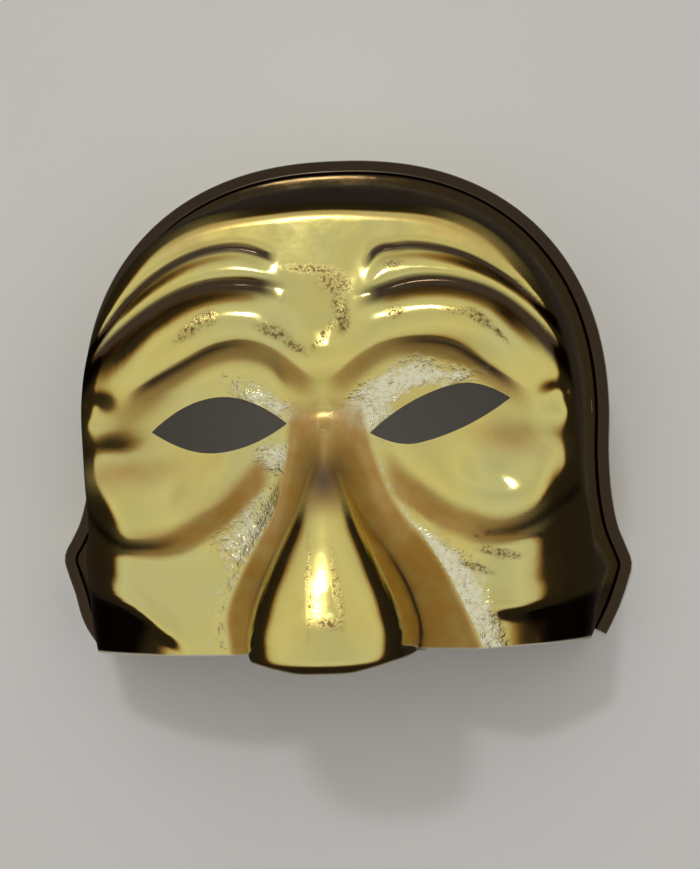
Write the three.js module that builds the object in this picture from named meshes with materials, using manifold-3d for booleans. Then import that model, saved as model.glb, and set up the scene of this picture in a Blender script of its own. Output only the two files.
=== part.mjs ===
// A vacuum formed plastic half mask: wrinkled brow, leaf shaped eye holes, pouches under the eyes and
// a long drop shaped nose. It lies on its rim with the nose up.
// Millimetres. +Z is the front of the mask, +Y the top of the head, +X the viewer's right.
// While the shell is worked out, y = 0 is the eye line; at the end its box is centred on the origin.

import * as THREE from 'three';
import Module from 'manifold-3d';

// Overall sizes
const RIM_HALF_WIDTH = 82;        // middle to the outer edge of the lip, at eye level
const RIM_TOP = 80.2;             // eye line to the outer edge of the lip, on top
const LIP_WIDTH = 4;              // flat lip turned outward round the rim
const CURL = 1;                   // radius where the wall turns into the lip
const SKIN = 1;                   // thickness of the sheet
const FACE_DEPTH = 60;            // front of the plain shell over the table, at the brow
const CHEEK_SHALLOWER = 7;        // the cheeks lie this much lower than the brow
const SHOULDER = 2.3;             // fullness of the outline: 2 is an ellipse
const EDGE_RADIUS = 7;            // round edge between the front and the wall, round the brow
const CHEEK_RADIUS = [26, 14];    // the same along the cheeks, right and left
const CORNER_RADIUS = [27, 25];   // and at the lower corners
const EDGE_STARTS = 0.87;         // share of the half width where that edge begins at the sides
const LEAN_TOP = THREE.MathUtils.degToRad(9);    // how far the wall leans outward on top
const LEAN_SIDE = THREE.MathUtils.degToRad(4);   // and at the sides
const SOFT_MIDDLE = 2.5;          // folds are rounded this wide where their two halves meet
const NOSE_TOP = 9;               // mesh columns keep to the nose up to here, over the eye line
const FOOT_HALF_WIDTH = RIM_HALF_WIDTH - LIP_WIDTH;
const FOOT_TOP = RIM_TOP - LIP_WIDTH;
const FOOT_Z = SKIN + CURL;       // where the wall ends and the curl starts

// Mesh lines follow the folds, counted from the middle and from the eye line
const COLUMNS = { foot: 5, cheek: 8, rim: 24 };
const ROWS_UP = { under: 5, brow: 8, wide: 11, thin: 15, rim: 22 };
const ROWS_DOWN = { crease: 8, jowl: 12, cut: 17 };
const CURL_STEPS = 2;
const EYE_STEPS = 12;

// Paths of the folds: distance from the middle, height over the eye line. The mask is not quite even,
// so the viewer's right (first) and left (second) have their own.
const BROW = [
  path([0, 21.3], [5.7, 23.1], [11, 26.4], [17, 30.3], [27, 32.5], [40, 31.4], [54, 25.5], [69, 11.5],
    [80, -5]),
  path([0, 21.3], [8, 24.6], [15, 29.3], [26, 32.5], [36, 31.2], [48, 24.9], [61, 15.6], [80, -5]),
];
const WIDE_FURROW = [
  path([8, 36.5], [16.7, 39.2], [29, 42], [40, 41.2], [53, 36], [66.4, 23.7], [82, 3]),
  path([6, 38], [14, 41.5], [26, 43], [38, 41.6], [50, 36.3], [64, 25.6], [82, 5]),
];
const THIN_FURROW = [
  path([12, 46], [16, 51], [24, 53], [34, 52.3], [47.6, 47.4], [62.8, 35.6], [74, 22.5], [82, 11]),
  path([12, 50], [17.6, 52.3], [24, 54.1], [33, 53.7], [44.6, 49.6], [57.9, 39.7], [67.4, 28.1], [82, 8]),
];
const UNDER_BROW = [
  path([0, 12], [6, 16.5], [11, 20.6], [17, 23.8], [28, 25.6], [39, 23.7], [50, 16.3], [57, 11.3], [74, 0]),
  path([0, 12], [6, 16.3], [12.7, 22.4], [18.5, 25.3], [24.5, 26.2], [30.5, 25.4], [44, 19.3], [59, 11],
    [74, 1]),
];
const POUCH_CREASE = [
  path([14, -10], [23, -19.6], [31, -25.9], [39, -30.2], [48, -33], [58, -31.5], [67, -26.5], [80, -16]),
  path([14, -9], [22, -16.2], [33, -26], [40, -30.3], [47, -33.5], [56, -34.6], [64, -33.6],
    [71, -28.5], [80, -16]),
];
const JOWL = [
  path([40, -57], [49, -56], [57, -56], [71, -53], [84, -51]),
  path([40, -66], [53, -59.2], [60, -54.2], [70, -49.3], [84, -43]),
];

// Upright lines: height over the eye line, distance from the middle
const CHEEK_CREST = [
  path([-75, 47], [-67, 44.1], [-52, 37.9], [-44, 34.1], [-34.7, 28.4], [-27.6, 22.7], [-8, 13.9],
    [4, 11.5]),
  path([-75, 30.5], [-63, 31.6], [-56, 32], [-47, 29], [-35, 22.6], [-24, 16.2], [-12, 13], [4, 10.5]),
];
const FLARE = [
  path([-69, -4.2], [-58, 1.8], [-50, 4.9], [-47, 5.8], [-43.5, 4.6], [-37, 2], [-28, 0.2], [-15, -0.6],
    [0, 0]),
  path([-69, -4], [-60, 2.2], [-50, 5.2], [-44, 7.2], [-40.5, 8], [-37, 6], [-32, 3.2], [-25, 0.7], [0, 0]),
];
const NOSE_HALF_WIDTH = path([-72, 22], [-68, 24.3], [-61, 25.3], [-53, 23.5], [-37, 16.5], [-24, 10],
  [-14, 6], [-5, 2]);
const NOSE_RIDGE = path([-72, 81], [-69.5, 83.4], [-63, 83.6], [-57, 82.9], [-52, 81.8], [-46, 80],
  [-40, 77.6], [-25, 71.3], [-7, 62.3], [5, 57], [14, 55]);
const BRIDGE_HALF_WIDTH = path([-50, 20], [-25, 12.5], [-7, 9], [14, 8]);
const LOWER_CUT = path([0, 71], [8, 70.8], [15, 69.3], [22, 67.7], [28, 67.6], [50, 67.3], [82, 66.5]);

// Eye holes: middle, half length, slant in degrees, and how far and where each lid bows out
const EYES = [
  { x: 34.2, y: 2.5, half: 21.5, slant: 12.2, up: 7.9, upAt: 0.3, down: 6.4, downAt: -0.35 },
  { x: -31.9, y: 0.7, half: 20.5, slant: 2, up: 9.2, upAt: 0.05, down: 7.4, downAt: -0.1 },
];
const SLIT = { y: 2.5, z: 13, long: 4, wide: 1.5 };   // for the elastic, one in each side wall

// A smooth curve through a few given places, level beyond its ends
function path(...places) {
  const last = places.length - 1;
  const rise = (k) => (places[k + 1][1] - places[k][1]) / (places[k + 1][0] - places[k][0]);
  const slope = places.map((place, k) => {
    if (k === 0) return rise(0);
    if (k === last) return rise(last - 1);
    const before = place[0] - places[k - 1][0];
    const after = places[k + 1][0] - place[0];
    return (rise(k - 1) * after + rise(k) * before) / (before + after);
  });
  return (at) => {
    const x = THREE.MathUtils.clamp(at, places[0][0], places[last][0]);
    let k = 0;
    while (k < last - 1 && x > places[k + 1][0]) k += 1;
    const span = places[k + 1][0] - places[k][0];
    const t = (x - places[k][0]) / span;
    const start = (1 + 2 * t) * (1 - t) ** 2 * places[k][1] + t * (1 - t) ** 2 * span * slope[k];
    const end = t * t * (3 - 2 * t) * places[k + 1][1] + t * t * (t - 1) * span * slope[k + 1];
    return start + end;
  };
}

const clamp01 = (t) => THREE.MathUtils.clamp(t, 0, 1);
const mix = THREE.MathUtils.lerp;
const bump = (distance, width) => Math.exp(-((distance / width) ** 2));
const sideOf = (x) => (x >= 0 ? 0 : 1);

// 0 before the first value, 1 after the second, smooth between; the values may run either way
function ease(from, to, x) {
  const t = clamp01((x - from) / (to - from));
  return t * t * (3 - 2 * t);
}

// Height over a fold's path, measured square to the path; the two sides meet softly in the middle
function overFold(fold, x, y) {
  const line = (out) => mix(fold[1](out), fold[0](out), ease(-4, 4, x));
  const out = Math.hypot(x, SOFT_MIDDLE);
  const steep = (line(out + 1) - line(out - 1)) / 2;
  return (y - line(out)) / Math.hypot(1, steep);
}

// The value on a chain of straight pieces
function chain(t, keys, values) {
  let k = 0;
  while (k < keys.length - 2 && t > keys[k + 1]) k += 1;
  return mix(values[k], values[k + 1], clamp01((t - keys[k]) / (keys[k + 1] - keys[k])));
}

// The edge is tight round the brow and rounder along the cheeks, most of all at the lower corners
function edgeRadius(side, y) {
  const low = mix(CHEEK_RADIUS[side], CORNER_RADIUS[side], ease(-42, -66, y));
  return mix(EDGE_RADIUS, low, ease(-12, -34, y));
}

// The section of the plain shell has a nearly flat front, a round edge and a leaning wall. reach is 0 in
// the middle and 1 at the foot of the wall; out and height are shares of the half width and the depth.
function section(reach, depth, lean, radius) {
  const turn = Math.PI / 2 - lean;
  const roundOut = radius / FOOT_HALF_WIDTH;
  const roundDown = radius / depth;
  const wallTop = 1 - roundDown * (1 - Math.cos(turn));
  const edge = 1 - roundOut * Math.sin(turn) - (wallTop * depth) / (FOOT_HALF_WIDTH * Math.tan(turn));
  const edgeEnd = (1 + edge) / 2;
  const bend = clamp01((reach - edge) / (edgeEnd - edge)) * turn;
  const wall = clamp01((reach - edgeEnd) / (1 - edgeEnd));
  const wallWide = 1 - edge - roundOut * Math.sin(turn);
  return {
    out: Math.min(reach, edge) + roundOut * Math.sin(bend) + wallWide * wall,
    height: (1 - roundDown * (1 - Math.cos(bend))) * (1 - wall),
  };
}

// Brow fold, the fold over it and the two furrows
function browFolds(x, y) {
  const out = Math.abs(x);
  const brow = overFold(BROW, x, y);
  const wide = overFold(WIDE_FURROW, x, y);
  const thin = overFold(THIN_FURROW, x, y);
  const ends = (1 - 0.2 * bump(out, 9)) * (1 - 0.6 * ease(50, 70, out));
  let height = 3.6 * bump(brow, brow > 0 ? 9.5 : 9) * ends;
  height -= 2 * bump(wide - 0.6, wide > 0.6 ? 2 : 4.6) * ease(8, 20, out);
  height += 1.7 * bump((wide + thin) / 2, 4.4) * ease(12, 18, out);
  height -= 1.3 * bump(thin, 1.4) * ease(13.5, 17.5, out);
  return height;
}

// The step down under the brow, flattening toward the eye
function socket(x, y) {
  const out = Math.abs(x);
  const below = -overFold(UNDER_BROW, x, y);
  const reach = ease(1, 14, out) * (1 - ease(44, 66, out));
  const soft = Math.log1p(Math.exp(below / 0.5)) * 0.5;
  const depth = 2 + 1.2 * ease(18, 34, out);
  return -depth * (1 - Math.exp(-soft / 6)) * (1 - ease(16, 56, below)) * reach;
}

// Pouch under the eye: soft toward the nose, with a crisp lower crease on the outer half
function pouch(x, y) {
  const out = Math.abs(x);
  const outer = ease(36, 60, out);
  const peak = 9.5 - 1.5 * outer;
  const above = overFold(POUCH_CREASE, x, y) - peak;
  const crisp = 2 + 3 * outer;
  const steepest = ((crisp - 1) / crisp) ** (1 / crisp);
  const lower = Math.exp(-(Math.abs((above * steepest) / peak) ** crisp));
  const fall = above > 0 ? bump(above, 11) : lower;
  return (4.6 - 0.6 * outer) * fall * ease(10, 34, out) * (1 - 0.95 * ease(60, 76, out));
}

// Two dents beside the eye
function temple(x, y) {
  const out = Math.abs(x);
  return -2 * bump(y - 8, 4) * ease(60, 70, out) - 1.8 * bump(y + 8, 6) * ease(46, 66, out);
}

function jowlFold(x, y) {
  const out = Math.abs(x);
  const above = overFold(JOWL, x, y);
  return 1.2 * bump(above - 1.5, 3) * ease(42, 56, out) - 3 * ease(0.8, -3.8, above) * ease(42, 62, out);
}

// How far the face drops from the cheek crest to the foot of the nose
function besideNose(x, y) {
  const out = Math.abs(x);
  const crest = CHEEK_CREST[sideOf(x)](y);
  const low = ease(10, -14, y);
  const inside = THREE.MathUtils.clamp(crest - out, 0, Math.max(crest - NOSE_HALF_WIDTH(y), 1));
  const drop = 0.5 * (Math.hypot(inside, 2) - 2);
  return (drop - 0.5 * bump(out - crest, 2.5)) * low;
}

// A soft bridge runs between the eyes; the nose stands on it like a drop, squarer toward its tip
function raiseNose(x, y, z) {
  const tip = ease(-6, -30, y);
  const bridge = bump(x, BRIDGE_HALF_WIDTH(y)) * ease(14, -2, y) * ease(-50, -24, y);
  const across = clamp01(Math.abs(x) / NOSE_HALF_WIDTH(y));
  const crown = 1 - 0.17 * across * across * tip;
  const drop = Math.sqrt(1 - across ** (2.2 + 9 * tip)) * crown * ease(-3, -12, y);
  return z + Math.max(NOSE_RIDGE(y) - z, 0) * Math.max(bridge, drop);
}

// Distance of a mesh column from the middle at a height, as a share of the half width
function columnPlace(column, y) {
  const side = sideOf(column);
  const count = Math.abs(column);
  const nearNose = ease(26, 6, y);
  const foot = mix(0.13 * FOOT_HALF_WIDTH, NOSE_HALF_WIDTH(Math.min(y, NOSE_TOP)), nearNose);
  const cheek = mix(0.28 * FOOT_HALF_WIDTH, CHEEK_CREST[side](y), nearNose);
  if (count <= COLUMNS.foot) {
    const t = count / COLUMNS.foot;
    const round = 1 - (1 - Math.sin((t * Math.PI) / 2)) ** 1.35;
    return (foot * mix(t, round, nearNose)) / FOOT_HALF_WIDTH;
  }
  if (count <= COLUMNS.cheek) {
    return mix(foot, cheek, (count - COLUMNS.foot) / (COLUMNS.cheek - COLUMNS.foot)) / FOOT_HALF_WIDTH;
  }
  const t = (count - COLUMNS.cheek) / (COLUMNS.rim - COLUMNS.cheek);
  return chain(t, [0, 0.62, 1], [cheek / FOOT_HALF_WIDTH, EDGE_STARTS, 1]);
}

// Upper half: a square net bent into the round outline, its rows led along the folds
function upperPlace(share, side, row) {
  const out = share * FOOT_HALF_WIDTH * (1 - (0.1 * row) / ROWS_UP.rim);
  const follow = ease(76, 60, out);
  const full = FOOT_TOP * Math.sqrt(1 - (share * share) / 2);
  const folds = [UNDER_BROW, BROW, WIDE_FURROW, THIN_FURROW];
  const plain = [0.24, 0.36, 0.49, 0.62];
  const levels = folds.map((fold, k) => {
    const level = Math.max(fold[side](out) / full, 0.1 * (k + 1));
    return mix(plain[k], level, follow);
  });
  const t = clamp01((row - ROWS_UP.thin) / (ROWS_UP.rim - ROWS_UP.thin));
  const keys = [0, ROWS_UP.under, ROWS_UP.brow, ROWS_UP.wide, ROWS_UP.thin];
  const toRim = chain(t, [0, 0.43, 1], [0, 0.81 - levels[3], 1 - levels[3]]);
  const high = clamp01(chain(row, keys, [0, ...levels]) + toRim);
  const ex = share * Math.sqrt(1 - (high * high) / 2);
  const ey = high * Math.sqrt(1 - (share * share) / 2);
  const reach = Math.sqrt(clamp01(1 - (1 - share * share) * (1 - high * high)));
  const round = Math.hypot(ex, ey) || 1;
  const fuller = 1 / ((ex / round) ** SHOULDER + (ey / round) ** SHOULDER) ** (1 / SHOULDER);
  const stretch = ex + ey > 0 ? 1 + (fuller - 1) * reach * reach : 1;
  const toSide = (share * share) / (share * share + high * high + 1e-9);
  return { x: FOOT_HALF_WIDTH * ex * stretch, y: FOOT_TOP * ey * stretch, reach, toSide };
}

// Lower half: upright columns from the eye line down to the cut
function lowerPlace(share, side, row) {
  const out = share * FOOT_HALF_WIDTH;
  const followPouch = ease(20, 32, out) * ease(79, 70, out);
  const crease = mix(-32, POUCH_CREASE[side](out), followPouch);
  const jowl = mix(-57, JOWL[side](out), ease(40, 52, out));
  const t = clamp01((-row - ROWS_DOWN.jowl) / (ROWS_DOWN.cut - ROWS_DOWN.jowl));
  const y = chain(-row, [0, ROWS_DOWN.crease, ROWS_DOWN.jowl], [0, crease, jowl]);
  return { x: out, y: y + (-LOWER_CUT(out) - jowl) * (1 - (1 - t) ** 1.5), reach: share, toSide: 1 };
}

// The height of a row shifts the column, so the place is found twice
function plainPoint(column, row) {
  const side = sideOf(column);
  const placeAt = (y) => {
    const share = columnPlace(column, y);
    return row >= 0 ? upperPlace(share, side, row) : lowerPlace(share, side, row);
  };
  const guess = row >= 0 ? (FOOT_TOP * row) / ROWS_UP.rim : (LOWER_CUT(0) * row) / ROWS_DOWN.cut;
  const place = placeAt(placeAt(guess).y);
  const depth = FACE_DEPTH - CHEEK_SHALLOWER * ease(12, -30, place.y) - FOOT_Z;
  const droop = 0.1 + 0.04 * ease(10, 60, place.y);
  const lean = mix(LEAN_TOP, LEAN_SIDE, ease(0, 0.5, place.toSide));
  const { out, height } = section(place.reach, depth, lean, edgeRadius(side, place.y));
  const spread = out / Math.max(place.reach, 1e-9);
  const y = row >= 0 ? place.y * spread : place.y;
  const z = FOOT_Z + depth * height * (1 - droop * out * out);
  return new THREE.Vector3(place.x * spread * Math.sign(column), y, z);
}

// Takes a point of the plain shell to its place on the finished face
function carve(plain, normal) {
  const fade = ease(8, 30, plain.z);
  const folds = browFolds(plain.x, plain.y) + socket(plain.x, plain.y) + pouch(plain.x, plain.y)
    + temple(plain.x, plain.y) + jowlFold(plain.x, plain.y);
  const point = plain.clone().addScaledVector(normal, folds * fade * ease(0.4, 0.9, normal.z));
  point.z -= besideNose(plain.x, plain.y) * fade + 3.5 * bump(plain.y - 6, 9) * bump(plain.x, 12);
  point.z = raiseNose(plain.x, plain.y, point.z);
  const low = clamp01(1 - point.z / 46) ** 1.6;
  if (plain.y < 0) point.x += Math.sign(plain.x) * FLARE[sideOf(plain.x)](plain.y) * low;
  return point;
}

// The outer face as rows of points, from the lower cut to the top of the rim
function faceRows() {
  const plain = [];
  for (let row = -ROWS_DOWN.cut; row <= ROWS_UP.rim; row += 1) {
    const line = [];
    for (let column = -COLUMNS.rim; column <= COLUMNS.rim; column += 1) line.push(plainPoint(column, row));
    plain.push(line);
  }
  const step = (list, k, pick) => {
    const after = Math.min(k + 1, list.length - 1);
    const before = Math.max(k - 1, 0);
    return pick(list[after]).clone().sub(pick(list[before]));
  };
  return plain.map((line, j) => line.map((point, i) => {
    const along = step(line, i, (p) => p);
    const up = step(plain, j, (l) => l[i]);
    return carve(point, along.cross(up).normalize());
  }));
}

// Rings of the lip, each as points over the walk round the rim
function lipRings(walk) {
  const rings = [];
  for (let ring = 0; ring <= CURL_STEPS + 1; ring += 1) rings.push([]);
  walk.forEach((foot, k) => {
    const before = walk[Math.max(k - 1, 0)];
    const after = walk[Math.min(k + 1, walk.length - 1)];
    const outward = new THREE.Vector3(after.y - before.y, before.x - after.x, 0).normalize();
    for (let ring = 0; ring <= CURL_STEPS; ring += 1) {
      const turn = (ring / CURL_STEPS) * (Math.PI / 2);
      const normal = outward.clone().multiplyScalar(Math.cos(turn));
      normal.z = Math.sin(turn);
      const point = foot.clone().addScaledVector(outward, CURL * (1 - Math.cos(turn)));
      point.z = FOOT_Z - CURL * Math.sin(turn);
      rings[ring].push({ point, normal });
    }
    const edge = foot.clone().addScaledVector(outward, LIP_WIDTH);
    edge.z = SKIN;
    rings[CURL_STEPS + 1].push({ point: edge, normal: new THREE.Vector3(0, 0, 1) });
  });
  return rings;
}

// The whole closed sheet as one list of points and triangles
function sheet() {
  const rows = faceRows();
  const wide = rows[0].length;
  const high = rows.length;
  const outer = rows.flat();
  const fixed = new Map();
  const triangles = [];
  const quad = (a, b, c, d) => {
    const first = outer[a].distanceTo(outer[c]) < outer[b].distanceTo(outer[d]);
    if (first) triangles.push([a, b, c], [a, c, d]);
    else triangles.push([a, b, d], [b, c, d]);
  };
  for (let j = 0; j < high - 1; j += 1) {
    for (let i = 0; i < wide - 1; i += 1) {
      const a = j * wide + i;
      quad(a, a + 1, a + wide + 1, a + wide);
    }
  }
  // Walk up the right side, over the top and down the left side
  const walk = [];
  for (let j = 0; j < high; j += 1) walk.push(j * wide + wide - 1);
  for (let i = wide - 2; i >= 0; i -= 1) walk.push((high - 1) * wide + i);
  for (let j = high - 2; j >= 0; j -= 1) walk.push(j * wide);
  const rings = lipRings(walk.map((k) => outer[k]));
  let inner = walk;
  inner.forEach((index, k) => fixed.set(index, rings[0][k].normal));
  const ends = [[walk[0]], [walk[walk.length - 1]]];
  rings.slice(1).forEach((ring) => {
    const next = ring.map(({ point, normal }) => {
      fixed.set(outer.length, normal);
      outer.push(point);
      return outer.length - 1;
    });
    for (let k = 0; k < next.length - 1; k += 1) quad(inner[k], next[k], next[k + 1], inner[k + 1]);
    ends[0].push(next[0]);
    ends[1].push(next[next.length - 1]);
    inner = next;
  });
  const under = innerSide(outer, triangles, fixed);
  // Border of the sheet, counter-clockwise seen from the front
  const bottom = [];
  for (let i = 1; i < wide - 1; i += 1) bottom.push(i);
  const border = [...ends[1].slice(0, -1).reverse(), ...bottom, ...ends[0].slice(0, -1), ...inner];
  const back = outer.length;
  const closed = [...triangles, ...triangles.map(([a, b, c]) => [a + back, c + back, b + back])];
  border.forEach((from, k) => {
    const to = border[(k + 1) % border.length];
    closed.push([to, from, from + back], [to, from + back, to + back]);
  });
  return { points: [...outer, ...under], triangles: closed };
}

// The same points one skin further in, along the mean normal of the faces round each point
function innerSide(points, triangles, fixed) {
  const normals = points.map(() => new THREE.Vector3());
  triangles.forEach(([a, b, c]) => {
    const ab = points[b].clone().sub(points[a]);
    const ac = points[c].clone().sub(points[a]);
    const area = ab.cross(ac);
    [a, b, c].forEach((k) => normals[k].add(area));
  });
  return points.map((point, k) => {
    const normal = fixed.get(k) ?? normals[k].normalize();
    return point.clone().addScaledVector(normal, -SKIN);
  });
}

// A leaf shaped prism, slanted, that cuts one eye hole straight through
function eyeCutter(eye) {
  const lid = (t, bow, at) => {
    const reach = t > at ? (t - at) / (1 - at) : (at - t) / (1 + at);
    return bow * (1 - reach * reach);
  };
  const leaf = new THREE.Shape();
  for (let k = 0; k < EYE_STEPS; k += 1) {
    const t = 1 - (2 * k) / EYE_STEPS;
    if (k === 0) leaf.moveTo(eye.half, 0);
    else leaf.lineTo(t * eye.half, lid(t, eye.up, eye.upAt));
  }
  for (let k = 0; k < EYE_STEPS; k += 1) {
    const t = -1 + (2 * k) / EYE_STEPS;
    leaf.lineTo(t * eye.half, k === 0 ? 0 : -lid(t, eye.down, eye.downAt));
  }
  const prism = new THREE.ExtrudeGeometry(leaf, { depth: FACE_DEPTH, bevelEnabled: false });
  return prism.rotateZ(THREE.MathUtils.degToRad(eye.slant)).translate(eye.x, eye.y, SKIN * 10);
}

function slitCutter(side) {
  const block = new THREE.BoxGeometry(2 * LIP_WIDTH, SLIT.long, SLIT.wide);
  return block.translate(side * FOOT_HALF_WIDTH, SLIT.y, SLIT.z);
}

const wasm = await Module();
wasm.setup();

function solidFromLists(vertProperties, triVerts) {
  return new wasm.Manifold(new wasm.Mesh({ numProp: 3, vertProperties, triVerts }));
}

// A solid from a three.js geometry, its equal corners joined
function solidFromGeometry(geometry) {
  const source = geometry.index ? geometry.toNonIndexed() : geometry;
  const place = source.getAttribute('position');
  const known = new Map();
  const vertices = [];
  const corners = [];
  for (let k = 0; k < place.count; k += 1) {
    const spot = [place.getX(k), place.getY(k), place.getZ(k)];
    const key = spot.map((v) => v.toFixed(4)).join(' ');
    if (!known.has(key)) {
      known.set(key, known.size);
      vertices.push(...spot);
    }
    corners.push(known.get(key));
  }
  return solidFromLists(new Float32Array(vertices), new Uint32Array(corners));
}

function maskSolid() {
  const { points, triangles } = sheet();
  const vertices = new Float32Array(points.flatMap((p) => [p.x, p.y, p.z]));
  let solid = solidFromLists(vertices, new Uint32Array(triangles.flat()));
  const cutters = [...EYES.map(eyeCutter), slitCutter(1), slitCutter(-1)];
  cutters.forEach((cutter) => {
    solid = solid.subtract(solidFromGeometry(cutter));
  });
  return solid;
}

function maskMesh() {
  const cut = maskSolid().getMesh();
  const geometry = new THREE.BufferGeometry();
  geometry.setAttribute('position', new THREE.BufferAttribute(new Float32Array(cut.vertProperties), 3));
  geometry.setIndex(new THREE.BufferAttribute(new Uint32Array(cut.triVerts), 1));
  geometry.computeBoundingBox();
  const box = geometry.boundingBox;
  geometry.translate(-(box.min.x + box.max.x) / 2, -(box.min.y + box.max.y) / 2, -box.min.z);
  geometry.computeVertexNormals();
  const gold = new THREE.MeshStandardMaterial({ color: 0xc9b25a, roughness: 0.22, metalness: 1 });
  const mesh = new THREE.Mesh(geometry, gold);
  mesh.name = 'mask_shell';
  return mesh;
}

const mask = new THREE.Group();
mask.name = 'costume_half_mask';
mask.add(maskMesh());

export default mask;
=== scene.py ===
# %% [markdown]
# # A gold costume half mask
# The real mask is one thin sheet of plastic, warmed and sucked down over a mould, then plated with a
# very thin gold coloured metal film. It is a hollow shell with a narrow lip round its rim. Here it lies
# on its rim with the nose up, and the camera looks down on it.
# The measuring frame comes from the CAD model, so the first cell loads it and keeps its box.

# %% Load the frame
import math

import bpy
import numpy as np
from mathutils import Matrix, Vector


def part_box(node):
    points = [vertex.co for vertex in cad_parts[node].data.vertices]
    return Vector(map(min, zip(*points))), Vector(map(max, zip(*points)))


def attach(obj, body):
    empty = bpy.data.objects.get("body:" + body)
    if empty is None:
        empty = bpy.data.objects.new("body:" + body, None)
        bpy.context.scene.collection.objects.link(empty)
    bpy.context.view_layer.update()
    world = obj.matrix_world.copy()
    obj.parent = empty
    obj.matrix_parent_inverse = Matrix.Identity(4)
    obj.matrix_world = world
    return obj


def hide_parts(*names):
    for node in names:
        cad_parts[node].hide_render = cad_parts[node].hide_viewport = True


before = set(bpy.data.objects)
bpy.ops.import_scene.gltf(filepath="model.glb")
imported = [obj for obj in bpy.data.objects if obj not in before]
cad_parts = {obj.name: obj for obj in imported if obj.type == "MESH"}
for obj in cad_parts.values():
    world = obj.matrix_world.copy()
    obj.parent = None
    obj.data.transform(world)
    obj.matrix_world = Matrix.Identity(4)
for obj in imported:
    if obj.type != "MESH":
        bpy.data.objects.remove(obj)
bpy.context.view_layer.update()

MM = 0.001

# %% [markdown]
# ## Sizes
# Everything follows from a few sizes of the real thing, in millimetres: half the width at the rim, the
# height over the eye line, the width of the lip, the depth of the face and the thickness of the sheet.
# The lip starts with a small quarter turn, the curl, and the foot is where the wall meets that curl. The
# cheeks lie a little shallower than the brow, and the nose starts a little over the eye line.

# %% Driving sizes, in millimetres
RIM_HALF_WIDTH = 82.0
RIM_TOP = 80.2
LIP_WIDTH = 4.0
CURL = 1.0
SKIN = 1.0
FACE_DEPTH = 60.0
CHEEK_SHALLOWER = 7.0
NOSE_TOP = 9.0
FOOT_HALF_WIDTH = RIM_HALF_WIDTH - LIP_WIDTH
FOOT_TOP = RIM_TOP - LIP_WIDTH
FOOT_Z = SKIN + CURL
print("foot:", 2 * FOOT_HALF_WIDTH, "mm wide,", round(FOOT_TOP, 1), "mm high over the eye line")

# %% [markdown]
# ## Paths of the folds
# A fold is a line drawn over the face. Each one is a smooth curve through a few places: how far from the
# middle, and how high over the eye line. The mask isn't quite even, so each side has its own.

# %% A smooth curve through a few places
def path(*places):
    at = np.array([place[0] for place in places], float)
    value = np.array([place[1] for place in places], float)
    rise = np.diff(value) / np.diff(at)
    slope = np.empty(len(at))
    slope[0] = rise[0]
    slope[-1] = rise[-1]
    before = np.diff(at)[:-1]
    after = np.diff(at)[1:]
    slope[1:-1] = (rise[:-1] * after + rise[1:] * before) / (before + after)

    def curve(x):
        x = np.clip(x, at[0], at[-1])
        k = np.clip(np.searchsorted(at, x, side="right") - 1, 0, len(at) - 2)
        span = at[k + 1] - at[k]
        t = (x - at[k]) / span
        start = (1 + 2 * t) * (1 - t) ** 2 * value[k] + t * (1 - t) ** 2 * span * slope[k]
        end = t * t * (3 - 2 * t) * value[k + 1] + t * t * (t - 1) * span * slope[k + 1]
        return start + end

    return curve

# %% The folds: viewer's right first, then left
BROW = (
    path((0, 21.3), (5.7, 23.1), (11, 26.4), (17, 30.3), (27, 32.5), (40, 31.4), (54, 25.5),
         (69, 11.5), (80, -5)),
    path((0, 21.3), (8, 24.6), (15, 29.3), (26, 32.5), (36, 31.2), (48, 24.9), (61, 15.6), (80, -5)),
)
WIDE_FURROW = (
    path((8, 36.5), (16.7, 39.2), (29, 42), (40, 41.2), (53, 36), (66.4, 23.7), (82, 3)),
    path((6, 38), (14, 41.5), (26, 43), (38, 41.6), (50, 36.3), (64, 25.6), (82, 5)),
)
THIN_FURROW = (
    path((12, 46), (16, 51), (24, 53), (34, 52.3), (47.6, 47.4), (62.8, 35.6), (74, 22.5), (82, 11)),
    path((12, 50), (17.6, 52.3), (24, 54.1), (33, 53.7), (44.6, 49.6), (57.9, 39.7), (67.4, 28.1), (82, 8)),
)
UNDER_BROW = (
    path((0, 12), (6, 16.5), (11, 20.6), (17, 23.8), (28, 25.6), (39, 23.7), (50, 16.3), (57, 11.3), (74, 0)),
    path((0, 12), (6, 16.3), (12.7, 22.4), (18.5, 25.3), (24.5, 26.2), (30.5, 25.4), (44, 19.3),
         (59, 11), (74, 1)),
)
POUCH_CREASE = (
    path((14, -10), (23, -19.6), (31, -25.9), (39, -30.2), (48, -33), (58, -31.5), (67, -26.5), (80, -16)),
    path((14, -9), (22, -16.2), (33, -26), (40, -30.3), (47, -33.5), (56, -34.6), (64, -33.6),
         (71, -28.5), (80, -16)),
)
JOWL = (
    path((40, -57), (49, -56), (57, -56), (71, -53), (84, -51)),
    path((40, -66), (53, -59.2), (60, -54.2), (70, -49.3), (84, -43)),
)
print("brow at its highest:", round(float(BROW[0](27.0)), 1), "mm over the eye line")

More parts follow.
